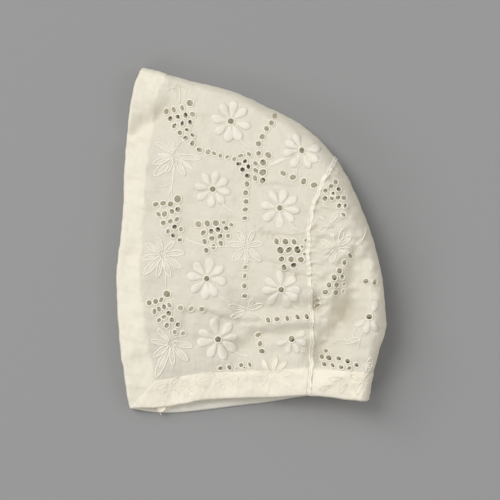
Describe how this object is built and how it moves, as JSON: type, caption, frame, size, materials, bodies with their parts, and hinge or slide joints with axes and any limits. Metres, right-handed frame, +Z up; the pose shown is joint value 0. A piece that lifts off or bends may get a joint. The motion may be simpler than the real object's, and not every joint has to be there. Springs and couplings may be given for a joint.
{
  "type": "infant's whitework cap",
  "caption": "Hollow cloth cap lying on its side, with a hemmed face opening, a gathered back panel, a raised crown seam and pierced eyelet embroidery.",
  "frame": {"origin": "bottom centre of the cap's box, on the table that the cap lies on", "axes": "+X from the face opening to the back of the head, +Y from the neck edge to the crown, +Z up from the table"},
  "size_m": [0.124, 0.16, 0.0303],
  "materials": {
    "batiste": "sheer cream cotton with white embroidery",
    "hem": "doubled cream cotton",
    "seam": "felled cotton seam with two rows of stitches"
  },
  "bodies": {
    "root": {"front_panel": "batiste", "back_panel": "batiste", "front_hem": "hem", "crown_seam": "seam", "neck_hem_left": "hem", "neck_hem_right": "hem", "neck_hem_back": "hem"}
  },
  "joints": []
}
